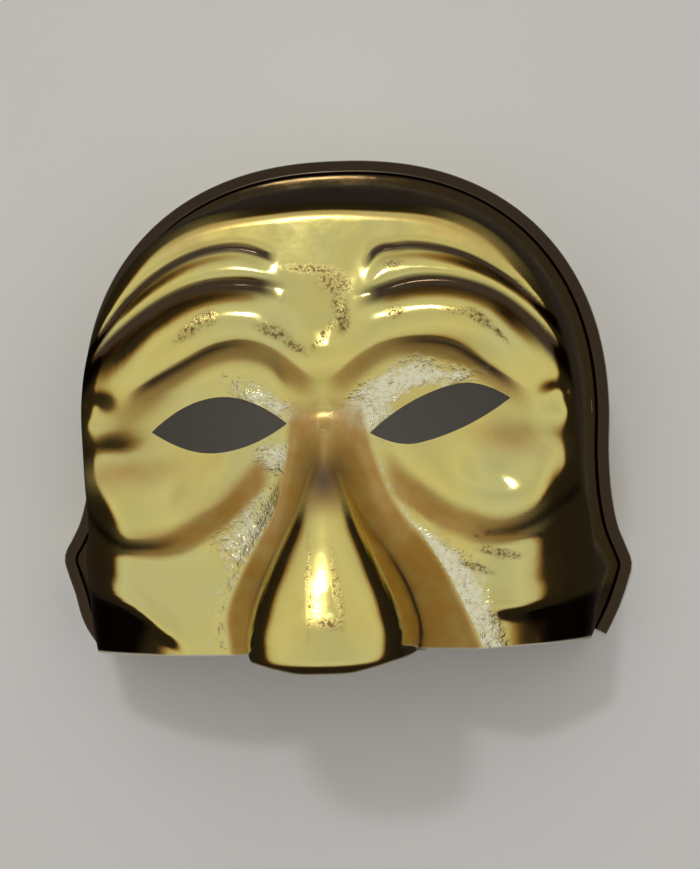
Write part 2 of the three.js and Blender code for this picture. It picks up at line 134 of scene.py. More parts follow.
# %% Upright lines: height over the eye line, then distance from the middle
CHEEK_CREST = (
    path((-75, 47), (-67, 44.1), (-52, 37.9), (-44, 34.1), (-34.7, 28.4), (-27.6, 22.7), (-8, 13.9),
         (4, 11.5)),
    path((-75, 30.5), (-63, 31.6), (-56, 32), (-47, 29), (-35, 22.6), (-24, 16.2), (-12, 13), (4, 10.5)),
)
FLARE = (
    path((-69, -4.2), (-58, 1.8), (-50, 4.9), (-47, 5.8), (-43.5, 4.6), (-37, 2), (-28, 0.2),
         (-15, -0.6), (0, 0)),
    path((-69, -4), (-60, 2.2), (-50, 5.2), (-44, 7.2), (-40.5, 8), (-37, 6), (-32, 3.2), (-25, 0.7),
         (0, 0)),
)
NOSE_HALF_WIDTH = path((-72, 22), (-68, 24.3), (-61, 25.3), (-53, 23.5), (-37, 16.5), (-24, 10),
                       (-14, 6), (-5, 2))
BRIDGE_HALF_WIDTH = path((-50, 20), (-25, 12.5), (-7, 9), (14, 8))

# %% Heights of the nose, and the cut under it
NOSE_RIDGE = path((-72, 81), (-69.5, 83.4), (-63, 83.6), (-57, 82.7), (-51, 81), (-45, 79.2),
                  (-40, 77.4), (-25, 71.3), (-7, 62.3), (5, 57), (14, 55))
LOWER_CUT = path((0, 71), (8, 70.8), (15, 69.3), (22, 67.7), (28, 67.6), (50, 67.3), (82, 66.5))
print("nose at its tip:", round(float(NOSE_RIDGE(-60.0)), 1), "mm high,",
      round(2 * float(NOSE_HALF_WIDTH(-60.0)), 1), "mm wide")

# %% [markdown]
# ## Small rules of shape
# A soft step, a rounded bump, an oval patch and a straight chain are enough to describe every fold.
# Distances to a fold are taken square to its path, so a fold keeps its width where its path turns down at
# the temple. The two sides blend into each other over a few millimetres at the middle.

# %% Small rules of shape
SOFT_MIDDLE = 2.5
SIDES_BLEND = 4

def ease(start, end, x):
    t = np.clip((x - start) / (end - start), 0, 1)
    return t * t * (3 - 2 * t)

def bump(distance, width):
    return np.exp(-(distance / width) ** 2)

def patch(x, y, at_x, at_y, long, wide, turn=0):
    slant = math.radians(turn)
    along = (x - at_x) * math.cos(slant) + (y - at_y) * math.sin(slant)
    over = (y - at_y) * math.cos(slant) - (x - at_x) * math.sin(slant)
    return np.exp(-(along / long) ** 2 - (over / wide) ** 2)

def mix(a, b, t):
    return a + (b - a) * t

def by_side(pair, x, along):
    return mix(pair[1](along), pair[0](along), ease(-SIDES_BLEND, SIDES_BLEND, x))

def right_or_left(pair, x):
    """The first of the pair on the viewer's right, the second on the left."""
    return np.where(x >= 0, *pair)

def over_fold(fold, x, y):
    """How far a point lies over a fold's path, square to it; a minus means under it."""
    out = np.hypot(x, SOFT_MIDDLE)
    steep = (by_side(fold, x, out + 1) - by_side(fold, x, out - 1)) / 2
    return (y - by_side(fold, x, out)) / np.hypot(1, steep)

def chain(t, keys, values):
    """Straight pieces from value to value, one for each step between the keys."""
    total = values[0] + 0 * t
    for k in range(len(keys) - 1):
        share = np.clip((t - keys[k]) / (keys[k + 1] - keys[k]), 0, 1)
        total = total + (values[k + 1] - values[k]) * share
    return total

# %% [markdown]
# ## The relief of the face
# The plain shell is a squared dome. On it lie the brow fold with two furrows over it, the hollow under the
# brow, the pouch under the eye, the dents of the temple and the jowl fold. Each is a few bumps along its
# path, so every height can be set by itself, and the brow swells a little more on the viewer's right. On
# polished metal the slope matters more than the height: a reflection turns twice as fast as the surface
# does, so half a millimetre already moves a highlight.

# %% Heights and depths of the folds, in millimetres
BROW_HEIGHT = 3.2
WIDE_FURROW_DEPTH = 1.4
THIN_FURROW_DEPTH = 1.0
BETWEEN_FURROWS_HEIGHT = 0.7
RIGHT_SWELL_HEIGHT = 1.7
SOCKET_DEPTH = 2.0
SOCKET_DEEPER_OUTSIDE = 1.2
POUCH_HEIGHT = 4.7
POUCH_PEAK_OVER_CREASE = (10.5, 9)
POUCH_RIDGE_HEIGHT = (1.2, 0.4)
POUCH_RIDGE_OUT = (51, 40)
UPPER_TEMPLE_DENT = 2.0
LOWER_TEMPLE_DENT = 1.3
JOWL_HEIGHT = 1.2
JOWL_DROP = 3.0

# %% The brow and its two furrows
def brow_folds(x, y):
    out = np.abs(x)
    brow = over_fold(BROW, x, y)
    wide = over_fold(WIDE_FURROW, x, y)
    thin = over_fold(THIN_FURROW, x, y)
    upper_side = mix(4.5, 9.5, ease(2, 12, out))
    height = BROW_HEIGHT * bump(brow, np.where(brow > 0, upper_side, 9)) * (1 - 0.6 * bump(out, 12))
    height *= 1 - 0.6 * ease(50, 70, out)
    height -= WIDE_FURROW_DEPTH * bump(wide - 0.6, np.where(wide > 0.6, 1.8, 5)) * ease(7, 22, out)
    height += BETWEEN_FURROWS_HEIGHT * bump((wide + thin) / 2 + 0.4, 4.4) * ease(10, 20, out)
    height -= THIN_FURROW_DEPTH * bump(thin, np.where(thin > 0, 1.3, 4)) * ease(12, 19, out)
    height += RIGHT_SWELL_HEIGHT * bump(x - 44, 14) * bump(y - 36, 14)
    return height

# %% The hollow under the brow, and the pouch under the eye
def socket(x, y):
    out = np.abs(x)
    below = -over_fold(UNDER_BROW, x, y)
    reach = ease(1, 14, out) * (1 - ease(44, 66, out))
    soft = np.log1p(np.exp(np.clip(below / 0.5, -30, 30))) * 0.5
    depth = SOCKET_DEPTH + SOCKET_DEEPER_OUTSIDE * ease(18, 34, out)
    return -depth * (1 - np.exp(-soft / 6)) * (1 - ease(16, 56, below)) * reach

def pouch(x, y):
    """A bag that is steep down to its crease and soft toward the eye, with a low ridge along it."""
    out = np.abs(x)
    outer = ease(36, 60, out)
    slender = np.where(x >= 0, ease(40, 16, out), ease(52, 26, out))
    peak = mix(right_or_left(POUCH_PEAK_OVER_CREASE, x), 4, slender) - 1.5 * outer
    above = over_fold(POUCH_CREASE, x, y) - peak
    crisp = 2 + 3 * outer
    steepest = ((crisp - 1) / crisp) ** (1 / crisp)
    lower = np.exp(-np.abs(above * steepest / peak) ** crisp)
    upper = bump(above, 10.5)
    height = POUCH_HEIGHT - 0.7 * outer
    body = height * np.where(above > 0, upper, lower) * ease(12, 38, out) * (1 - 0.95 * ease(60, 76, out))
    ridge = np.where(x >= 0, y + 21 + 0.15 * (x - 47), y + 20.5 - 0.1 * (x + 34))
    along = bump(out - right_or_left(POUCH_RIDGE_OUT, x), 11)
    return body + right_or_left(POUCH_RIDGE_HEIGHT, x) * bump(ridge, np.where(ridge > 0, 4, 8)) * along

# %% Temple and jowl
def temple(x, y):
    out = np.abs(x)
    upper = UPPER_TEMPLE_DENT * bump(y - 8, 4) * ease(60, 70, out)
    lower = LOWER_TEMPLE_DENT * bump(y + 8, 6) * ease(46, 66, out)
    return -upper - lower

def jowl_fold(x, y):
    out = np.abs(x)
    above = over_fold(JOWL, x, y)
    fold = JOWL_HEIGHT * bump(above - 1.5, 3) * ease(42, 56, out)
    return fold - JOWL_DROP * ease(0.8, -3.8, above) * ease(42, 62, out)

# %% Beside the nose, and the nose itself
BRIDGE_DENT = 2.6

def beside_nose(x, y):
    """The cheek slopes down from its crest to the foot of the nose; the crest itself stands up a little."""
    out = np.abs(x)
    crest = by_side(CHEEK_CREST, x, y)
    low = ease(10, -14, y)
    inside = np.clip(crest - out, 0, np.maximum(crest - NOSE_HALF_WIDTH(y), 1))
    rounded = np.sqrt(inside ** 2 + 4) - 2
    return 0.5 * rounded * low - 0.5 * bump(out - crest, 2.5) * low

def raise_nose(x, y, z):
    """Lifts the sheet to the ridge: bell shaped across at the bridge, a full drop farther down."""
    tip = ease(-6, -30, y)
    half_width = BRIDGE_HALF_WIDTH(y) * mix(0.88, 1, ease(-SIDES_BLEND, SIDES_BLEND, x))
    bridge = bump(x, half_width) * ease(14, -2, y) * ease(-50, -24, y)
    across = np.clip(np.abs(x) / NOSE_HALF_WIDTH(y), 0, 1)
    drop = (1 - across ** (2.2 + 9 * tip)) ** 0.5 * (1 - 0.17 * across ** 2 * tip) * ease(-3, -12, y)
    return z + np.maximum(NOSE_RIDGE(y) - z, 0) * np.maximum(bridge, drop)

# %% [markdown]
# ## How the flat sheet is led over the mould
# The sheet starts as a flat grid. Its rows are led along the folds and its columns along the nose and the
# cheek crest, so that narrow furrows stay clean. Toward the rim the lines crowd together, because there
# the shell turns down into its steep wall. Between these key lines come a few finer ones.

# %% Which grid line lies on which feature, counted from the middle and from the eye line
COLUMN_KEYS = {"foot": 5, "cheek": 8, "rim": 24}
ROW_KEYS_UP = {"under": 5, "brow": 8, "wide": 11, "thin": 15, "rim": 22}
ROW_KEYS_DOWN = {"crease": 8, "jowl": 12, "cut": 17}
FINER_ACROSS = 5
FINER_UP = 4

# Where the round edge begins: as a share of the way out or up, and of the lines that lead there.
EDGE_STARTS = 0.87
COLUMNS_BEFORE_EDGE = 0.62
ROWS_BEFORE_EDGE = 0.43
TOP_EDGE_STARTS = 0.81

# %% Columns: how far out each one runs, as a share of the width
PLAIN_FOOT = 0.13
PLAIN_CHEEK = 0.28
CROWD_TO_FOOT = 1.35

def column_share(column, y):
    count = np.abs(column)
    near_nose = ease(26, 6, y)
    foot = mix(PLAIN_FOOT * FOOT_HALF_WIDTH, NOSE_HALF_WIDTH(np.minimum(y, NOSE_TOP)), near_nose)
    cheek = mix(PLAIN_CHEEK * FOOT_HALF_WIDTH, by_side(CHEEK_CREST, column, y), near_nose)
    t_nose = np.clip(count / COLUMN_KEYS["foot"], 0, 1)
    round_step = 1 - (1 - np.sin(t_nose * math.pi / 2)) ** CROWD_TO_FOOT
    t_side = (count - COLUMN_KEYS["foot"]) / (COLUMN_KEYS["cheek"] - COLUMN_KEYS["foot"])
    t_out = np.clip((count - COLUMN_KEYS["cheek"]) / (COLUMN_KEYS["rim"] - COLUMN_KEYS["cheek"]), 0, 1)
    stops = (cheek, EDGE_STARTS * FOOT_HALF_WIDTH, FOOT_HALF_WIDTH)
    place = chain(t_out, (0, COLUMNS_BEFORE_EDGE, 1), stops)
    place = np.where(count <= COLUMN_KEYS["cheek"], mix(foot, cheek, np.clip(t_side, 0, 1)), place)
    place = np.where(count <= COLUMN_KEYS["foot"], foot * mix(t_nose, round_step, near_nose), place)
    return place / FOOT_HALF_WIDTH

# %% Rows over the eye line: they follow the folds and close to a squared dome
SHOULDER = 2.3
PLAIN_LEVELS = (0.24, 0.36, 0.49, 0.62)

def fold_levels(share, column, out):
    """The height of each fold, as a share of the dome's height over that column."""
    full = FOOT_TOP * np.sqrt(1 - share ** 2 / 2)
    follow = ease(76, 60, out)
    levels = [0 * share]
    for k, fold in enumerate((UNDER_BROW, BROW, WIDE_FURROW, THIN_FURROW)):
        level = np.maximum(by_side(fold, column, out) / full, 0.1 * (k + 1))
        levels.append(mix(PLAIN_LEVELS[k], level, follow))
    return levels

def upper_place(share, column, row):
    up = np.clip(row / ROW_KEYS_UP["rim"], 0, 1)
    levels = fold_levels(share, column, share * FOOT_HALF_WIDTH * (1 - 0.1 * up))
    keys = [0] + [ROW_KEYS_UP[name] for name in ("under", "brow", "wide", "thin")]
    t = np.clip((row - ROW_KEYS_UP["thin"]) / (ROW_KEYS_UP["rim"] - ROW_KEYS_UP["thin"]), 0, 1)
    last = (0, TOP_EDGE_STARTS - levels[-1], 1 - levels[-1])
    high = chain(row, keys, levels) + chain(t, (0, ROWS_BEFORE_EDGE, 1), last)
    ex = share * np.sqrt(1 - high ** 2 / 2)
    ey = high * np.sqrt(1 - share ** 2 / 2)
    reach = np.sqrt(np.clip(1 - (1 - share ** 2) * (1 - high ** 2), 0, 1))
    away = np.maximum(np.hypot(ex, ey), 1e-9)
    fuller = 1 / np.maximum((ex / away) ** SHOULDER + (ey / away) ** SHOULDER, 1e-9) ** (1 / SHOULDER)
    stretch = np.where(ex + ey > 0, 1 + (fuller - 1) * reach ** 2, 1)
    to_side = share ** 2 / (share ** 2 + high ** 2 + 1e-9)
    return FOOT_HALF_WIDTH * ex * stretch, FOOT_TOP * ey * stretch, reach, to_side

# %% Rows under the eye line: they follow the crease and the jowl down to the cut
PLAIN_CREASE = -32
PLAIN_JOWL = -57
CROWD_TO_CUT = 1.5

def lower_place(share, column, row):
    out = share * FOOT_HALF_WIDTH
    follow_pouch = ease(20, 32, out) * ease(79, 70, out)
    crease = mix(PLAIN_CREASE, by_side(POUCH_CREASE, column, out), follow_pouch)
    jowl = mix(PLAIN_JOWL, by_side(JOWL, column, out), ease(40, 52, out))
    down = -row
    t = np.clip((down - ROW_KEYS_DOWN["jowl"]) / (ROW_KEYS_DOWN["cut"] - ROW_KEYS_DOWN["jowl"]), 0, 1)
    y = chain(down, [0, ROW_KEYS_DOWN["crease"], ROW_KEYS_DOWN["jowl"]], [0 * out, crease, jowl])
    y = y + (-LOWER_CUT(out) - jowl) * (1 - (1 - t) ** CROWD_TO_CUT)
    return out, y, share, np.ones_like(share)

# %% The section from the middle out to the rim
EDGE_RADIUS = 5.0
CHEEK_RADIUS = (26, 14)
CORNER_RADIUS = (27, 25)
LEAN_TOP = math.radians(10)
LEAN_SIDE = math.radians(4)

def edge_radius(column, y):
    """The edge is tight round the brow and rounder along the cheeks, most of all at the lower corners."""
    cheek = right_or_left(CHEEK_RADIUS, column)
    corner = right_or_left(CORNER_RADIUS, column)
    return mix(EDGE_RADIUS, mix(cheek, corner, ease(-42, -66, y)), ease(-12, -34, y))

def section(reach, depth, lean, radius):
    """Out and down along the section: nearly flat front, round edge, leaning wall; both as shares."""
    turn = math.pi / 2 - lean
    round_out = radius / FOOT_HALF_WIDTH
    round_down = radius / depth
    wall_top = 1 - round_down * (1 - np.cos(turn))
    edge = 1 - round_out * np.sin(turn) - wall_top * depth / (FOOT_HALF_WIDTH * np.tan(turn))
    edge_end = edge + (1 - edge) / 2
    bend = np.clip((reach - edge) / (edge_end - edge), 0, 1) * turn
    wall = np.clip((reach - edge_end) / (1 - edge_end), 0, 1)
    out = np.minimum(reach, edge) + round_out * np.sin(bend)
    out = out + (1 - edge - round_out * np.sin(turn)) * wall
    return out, (1 - round_down * (1 - np.cos(bend))) * (1 - wall)

# %% The plain shell, and the folds on it
DROOP = 0.1
DROOP_MORE_ON_TOP = 0.04

def plain_shell(column, row):
    """Places every crossing of a column and a row; the second pass reads the folds at their own height."""
    upper = row >= 0
    y = np.where(upper, FOOT_TOP * row / ROW_KEYS_UP["rim"], LOWER_CUT(0) * row / ROW_KEYS_DOWN["cut"])
    for _ in range(2):
        share = column_share(column, y)
        above = upper_place(share, column, np.maximum(row, 0))
        below = lower_place(share, column, np.minimum(row, 0))
        x, y, reach, to_side = (np.where(upper, a, b) for a, b in zip(above, below))
    depth = FACE_DEPTH - CHEEK_SHALLOWER * ease(12, -30, y) - FOOT_Z
    droop = DROOP + DROOP_MORE_ON_TOP * ease(10, 60, y)
    lean = mix(LEAN_TOP, LEAN_SIDE, ease(0, 0.5, to_side))
    out, height = section(reach, depth, lean, edge_radius(column, y))
    spread = out / np.maximum(reach, 1e-9)
    z = FOOT_Z + depth * height * (1 - droop * out ** 2)
    return np.stack([x * spread * np.sign(column), np.where(upper, y * spread, y), z], axis=-1)

# %% The folds stand square on the plain shell, and fade out down the wall
def unit(vectors):
    return vectors / np.maximum(np.linalg.norm(vectors, axis=-1, keepdims=True), 1e-12)

def grid_normals(points):
    along = np.gradient(points, axis=1)
    up = np.gradient(points, axis=0)
    return unit(np.cross(along, up))

FOLDS_FADE_UP = (8, 30)
FLARE_TOP = 46

def carve(plain, normal):
    """Adds the folds square to the plain shell, then the nose, and spreads the low part sideways."""
    x, y, z = plain[..., 0], plain[..., 1], plain[..., 2]
    fade = ease(*FOLDS_FADE_UP, z)
    folds = brow_folds(x, y) + socket(x, y) + pouch(x, y) + temple(x, y) + jowl_fold(x, y)
    point = plain + normal * (folds * fade * ease(0.4, 0.9, normal[..., 2]))[..., None]
    height = point[..., 2] - beside_nose(x, y) * fade - BRIDGE_DENT * bump(y - 6, 10) * bump(x, 12)
    height = raise_nose(x, y, height)
    low = np.clip(1 - height / FLARE_TOP, 0, 1) ** 1.6
    flare = np.where(y < 0, by_side(FLARE, x, y), 0) * low * np.sign(x)
    return np.stack([point[..., 0] + flare, point[..., 1], height], axis=-1)

# %% [markdown]
# ## Forming the sheet
# In the workshop a flat sheet is clamped, warmed and drawn down over the mould. Here a flat grid is added
# and every point of it is moved to its place on the face. A grid keeps clean rows of four-sided faces, and
# polished metal shows every dent, so clean rows matter more than a small count.

# %% Helpers for picking things by name and by place
def pick(thing):
    bpy.ops.object.select_all(action="DESELECT")
    thing.select_set(True)
    bpy.context.view_layer.objects.active = thing

def places_of(thing):
    flat = np.empty(len(thing.data.vertices) * 3, np.float32)
    thing.data.vertices.foreach_get("co", flat)
    return flat.reshape(-1, 3).astype(float)

def put_places(thing, places):
    thing.data.vertices.foreach_set("co", np.asarray(places, np.float32).ravel())
    thing.data.update()

# %% Flat grid, then the formed face
def form_sheet():
    across = 2 * COLUMN_KEYS["rim"] * FINER_ACROSS
    upward = (ROW_KEYS_UP["rim"] + ROW_KEYS_DOWN["cut"]) * FINER_UP
    bpy.ops.mesh.primitive_grid_add(x_subdivisions=across, y_subdivisions=upward, size=2)
    sheet = bpy.context.object
    sheet.name = "mask"
    flat = places_of(sheet)
    column_of = np.rint((flat[:, 0] + 1) / 2 * across).astype(int)
    row_of = np.rint((flat[:, 1] + 1) / 2 * upward).astype(int)
    columns = np.arange(across + 1) / FINER_ACROSS - COLUMN_KEYS["rim"]
    rows = np.arange(upward + 1) / FINER_UP - ROW_KEYS_DOWN["cut"]
    plain = plain_shell(*np.meshgrid(columns, rows))
    face = carve(plain, grid_normals(plain))
    put_places(sheet, face[row_of, column_of] * MM)
    vertex_at = np.empty((upward + 1, across + 1), int)
    vertex_at[row_of, column_of] = np.arange(len(flat))
    return sheet, vertex_at

mask, vertex_at = form_sheet()
print("formed sheet:", len(mask.data.vertices), "points")

# %% [markdown]
# ## The lip round the rim
# The trimmed mask keeps a narrow flat lip where the sheet lay on the table of the forming machine. It goes
# up one side, over the top and down the other, and it is left out along the cut under the nose. The rim's
# edges are extruded ring by ring: a quarter turn outward first, then the flat.

# %% Walk round the rim, and find the way out from the face at each point of it
walk = np.concatenate([vertex_at[:, -1], vertex_at[-1, -2::-1], vertex_at[-2::-1, 0]])
foot = places_of(mask)[walk]
ahead = np.roll(foot, -1, axis=0)
behind = np.roll(foot, 1, axis=0)
ahead[-1] = foot[-1]
behind[0] = foot[0]
run = ahead - behind
outward = unit(np.stack([run[:, 1], -run[:, 0], 0 * run[:, 0]], axis=-1))
outline = ((foot + outward * LIP_WIDTH * MM) / MM)[:, :2]
print("walk round the rim:", len(walk), "points")

# %% Extrude the rim
def extrude_ring(thing, ring, target):
    """Extrudes the edges along a ring of points, moves the new points to target and returns them."""
    pairs = {tuple(sorted(pair)) for pair in zip(ring[:-1].tolist(), ring[1:].tolist())}
    for part in (thing.data.vertices, thing.data.polygons):
        part.foreach_set("select", np.zeros(len(part), bool))
    for edge in thing.data.edges:
        edge.select = tuple(sorted(edge.vertices)) in pairs
    known = {tuple(place): k for k, place in enumerate(places_of(thing)[ring].tolist())}
    first_new = len(thing.data.vertices)
    pick(thing)
    bpy.ops.object.mode_set(mode="EDIT")
    bpy.ops.mesh.select_mode(type="EDGE")
    bpy.ops.mesh.extrude_edges_move()
    bpy.ops.object.mode_set(mode="OBJECT")
    places = places_of(thing)
    new_ring = np.empty(len(ring), int)
    for vertex in range(first_new, len(places)):
        new_ring[known[tuple(places[vertex].tolist())]] = vertex
    places[new_ring] = target
    put_places(thing, places)
    return new_ring

def lip_ring(out, height):
    place = foot + outward * out * MM
    place[:, 2] = height * MM
    return place

def open_edges(thing):
    uses = np.zeros(len(thing.data.edges), int)
    corners = np.empty(len(thing.data.loops), int)
    thing.data.loops.foreach_get("edge_index", corners)
    np.add.at(uses, corners, 1)
    return int((uses != 2).sum())

# %% The curl in a few steps, then the flat of the lip
CURL_STEPS = 5
LIP_STEPS = (0.5, 0.93, 1)

ring = walk
for k in range(1, CURL_STEPS + 1):
    turn = k / CURL_STEPS * math.pi / 2
    curled = lip_ring(CURL * (1 - math.cos(turn)), FOOT_Z - CURL * math.sin(turn))
    ring = extrude_ring(mask, ring, curled)
for reach in LIP_STEPS:
    ring = extrude_ring(mask, ring, lip_ring(mix(CURL, LIP_WIDTH, reach), SKIN))
print("with its lip:", len(mask.data.vertices), "points,", open_edges(mask), "edges along its border")

# %% [markdown]
# ## Thickness
# The sheet is one millimetre thick and the mask is open behind. Solidify grows the thickness inward, so
# the formed face stays where it is. It also gives the inside and the cut edges a second material,
# because only the front of the real sheet is plated.

# %% Materials by name, then the thickness
gold = bpy.data.materials.new("gold_film")
plastic = bpy.data.materials.new("bare_plastic")

def apply_modifier(thing, name, kind, **settings):
    modifier = thing.modifiers.new(name, kind)
    for key, value in settings.items():
        setattr(modifier, key, value)
    pick(thing)
    bpy.ops.object.modifier_apply(modifier=name)

for material in (gold, plastic):
    mask.data.materials.append(material)
apply_modifier(mask, "skin", "SOLIDIFY", thickness=SKIN * MM, offset=-1,
               material_offset=1, material_offset_rim=1)
print("thick sheet:", len(mask.data.polygons), "faces")

# %% [markdown]
# ## Eye holes and slits
# The eye holes are punched out after forming, so their walls run straight through the sheet. Each cutter
# is a circle pressed into a leaf by the bow of its two lids, then drawn up into a tall prism. A small slit
# in each side wall takes the elastic.

# %% Leaf shaped cutters for the eyes
EYES = (
    {"x": 34.2, "y": 2.5, "half": 21.5, "slant": 12.2, "up": (7.9, 0.3), "down": (6.4, -0.35)},
    {"x": -31.9, "y": 0.7, "half": 20.5, "slant": 2, "up": (9.2, 0.05), "down": (7.4, -0.1)},
)
EYE_POINTS = 96
CUT_FROM = 10
SLIT = {"y": 2.5, "z": 13, "long": 4, "wide": 1.5}

def lid(t, bow, widest):
    """The bow of a lid over the line between the corners; it is widest at a share of the half length."""
    reach = np.where(t > widest, (t - widest) / (1 - widest), (widest - t) / (1 + widest))
    return bow * (1 - reach ** 2)

def eye_cutter(eye):
    bpy.ops.mesh.primitive_circle_add(vertices=EYE_POINTS, radius=1, fill_type="NGON")
    cutter = bpy.context.object
    circle = places_of(cutter)
    t = circle[:, 0]
    bow = np.where(circle[:, 1] >= 0, lid(t, *eye["up"]), -lid(t, *eye["down"]))
    slant = math.radians(eye["slant"])
    x = eye["x"] + t * eye["half"] * math.cos(slant) - bow * math.sin(slant)
    y = eye["y"] + t * eye["half"] * math.sin(slant) + bow * math.cos(slant)
    put_places(cutter, np.stack([x, y, CUT_FROM + 0 * x], axis=-1) * MM)
    pick(cutter)
    bpy.ops.object.mode_set(mode="EDIT")
    bpy.ops.mesh.select_all(action="SELECT")
    bpy.ops.mesh.extrude_region_move(TRANSFORM_OT_translate={"value": (0, 0, FACE_DEPTH * MM)})
    bpy.ops.mesh.select_all(action="SELECT")
    bpy.ops.mesh.normals_make_consistent(inside=False)
    bpy.ops.object.mode_set(mode="OBJECT")
    return cutter

def slit_cutter(side):
    place = Vector((side * FOOT_HALF_WIDTH, SLIT["y"], SLIT["z"])) * MM
    size = Vector((2 * LIP_WIDTH, SLIT["long"], SLIT["wide"])) * MM
    bpy.ops.mesh.primitive_cube_add(size=1, location=place, scale=size)
    bpy.ops.object.transform_apply(location=True, rotation=True, scale=True)
    return bpy.context.object

# %% Punch them out
def punch(thing, cutter):
    for material in (gold, plastic):
        cutter.data.materials.append(material)
    cutter.data.polygons.foreach_set("material_index", np.ones(len(cutter.data.polygons), int))
    apply_modifier(thing, "punch", "BOOLEAN", object=cutter, operation="DIFFERENCE", solver="EXACT")
    bpy.data.objects.remove(cutter, do_unlink=True)

for eye in EYES:
    punch(mask, eye_cutter(eye))
for side in (1, -1):
    punch(mask, slit_cutter(side))
triangles = sum(len(face.vertices) - 2 for face in mask.data.polygons)
print("punched:", triangles, "triangles,", open_edges(mask), "open edges")

# %% [markdown]
# ## Into the frame
# The finer grid catches the widest points of the flare and the nose a little better than the CAD solid does,
# so it comes out a tenth of a millimetre larger. It is drawn in by that much, and then moved onto the CAD
# solid. Soft bends are shaded smooth, while the cut edges stay crisp.

# %% Move it to the frame's place and shade it smooth
SMOOTH_BELOW = math.radians(50)

low, high = (np.array(corner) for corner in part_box("mask_shell"))
places = places_of(mask)
draw_in = np.minimum((high - low) / (places.max(axis=0) - places.min(axis=0)), 1)
places = places * draw_in
TO_FRAME = (low + high) / 2 - (places.min(axis=0) + places.max(axis=0)) / 2
TO_FRAME[2] = low[2] - places[:, 2].min()
put_places(mask, places + TO_FRAME)
pick(mask)
bpy.ops.object.shade_smooth_by_angle(angle=SMOOTH_BELOW)
print("drawn in to", [round(float(v), 4) for v in draw_in], "of its size, to keep to the frame's box")
print("moved by", [round(float(v) / MM, 2) for v in TO_FRAME], "mm")

# %% [markdown]
# ## Where the finish is worn, and where shade and highlights are painted
# The film is thin. It has gone silvery round the inner corners of the eyes, and it is finely crazed with
# brown on the raised folds. The silver there is partly painted highlight, and the silver strip along the
# cheek crest is a painted highlight. The dark brown and the amber in the hollows, on the slopes and along the
# top edge are painted shade. On the real mask the wear is rubbed in. Here each kind is a rule: one number at
# every point, kept as an attribute for the material to read. The painted shade follows the folds, so it is
# measured from the same paths.

# %% Where each point lies, and how far it faces the front
spot = (places_of(mask) - TO_FRAME) / MM
normals = np.empty(len(mask.data.vertices) * 3, np.float32)
mask.data.vertices.foreach_get("normal", normals)
facing = normals.reshape(-1, 3)[:, 2]
front = ease(0.2, 0.6, facing)
print("points on the front:", int((front > 0.5).sum()))

# %% Small rules of paint
def plateau(distance, low, high, soft, soft_high=None):
    """One between low and high, fading out over twice the softness at either end."""
    soft_high = soft_high or soft
    return ease(low - soft, low + soft, distance) * ease(high + soft_high, high - soft_high, distance)

def most(*paints):
    return np.clip(np.max(paints, axis=0), 0, 1)

def out_of_crest(x, y):
    return np.abs(x) - by_side(CHEEK_CREST, x, y)

# %% Painted shade, dark brown: in the furrows, in the creases, beside the nose, on the bridge and in the lower corners
def painted_shade(x, y):
    out = np.abs(x)
    wide = plateau(over_fold(WIDE_FURROW, x, y), -2.6, 2.3, 1.4, 0.8) * ease(9, 18, out)
    thin = plateau(over_fold(THIN_FURROW, x, y), -1.5, 1.0, 0.6, 0.4) * ease(12.5, 16, out)
    under = plateau(over_fold(UNDER_BROW, x, y), -1.8, 0.5, 1.4, 0.35) * ease(16, 32, out) * ease(60, 50, out)
    crease = plateau(over_fold(POUCH_CREASE, x, y), -0.8, 1.8, 0.8, 1.4) * ease(42, 56, out)
    beside = plateau(out - NOSE_HALF_WIDTH(y), -3.5, 0.6, 0.8) * ease(-30, -46, y)
    bridge = 0.85 * patch(x, y, 0, -15, 6, 7)
    below_jowl = ease(-0.3, -1.6, over_fold(JOWL, x, y))
    corner = below_jowl * ease(54, 60, out + 0.35 * (y + 60))
    return most(most(wide, thin, under, 0.9 * crease, beside, bridge) * front, corner)

# %% Amber painted shade, thinner than the dark painted shade and wider: under the brow, along the pouch crease, on the cheeks beside the nose, along the top edge and at the temples
def amber_shade(x, y):
    out = np.abs(x)
    under = plateau(over_fold(UNDER_BROW, x, y), -4.5, 0.4, 3.2, 0.7) * ease(0, 8, out) * ease(64, 50, out)
    crease = plateau(over_fold(POUCH_CREASE, x, y), -3, 4.2, 1, 2.8) * ease(15, 22, out) * ease(68, 52, out)
    beside = out - NOSE_HALF_WIDTH(y)
    flank = ease(0.8, -1.2, out_of_crest(x, y)) * ease(11, 1, y) * ease(-2, 1, beside)
    between = ease(1.5, -0.5, beside) * ease(-28, -18, y) * ease(9, 0, y)
    # Painted shade along the top edge, on the band that tilts toward the lamp's highlight.
    top_edge = plateau(facing, 0.90, 0.98, 0.02, 0.008) * ease(50, 57, y)
    # Painted shade in the temple dents, beside the left lid and high on the temples.
    right_temple = patch(x, y, 54, -5, 10, 4, -12)
    left_temple = patch(x, y, -60, -12, 15, 4, 6)
    left_lid = patch(x, y, -56, 8, 12, 4, 28)
    high_temples = 0.4 * patch(x, y, -37, 57, 11, 5, 28) + 0.5 * patch(x, y, 49, 54, 14, 4, -38)
    folds = most(0.85 * under, crease, flank, 0.95 * between)
    return front * most(folds, high_temples, 0.55 * top_edge, 0.7 * right_temple, 0.7 * left_temple,
                        0.5 * left_lid)

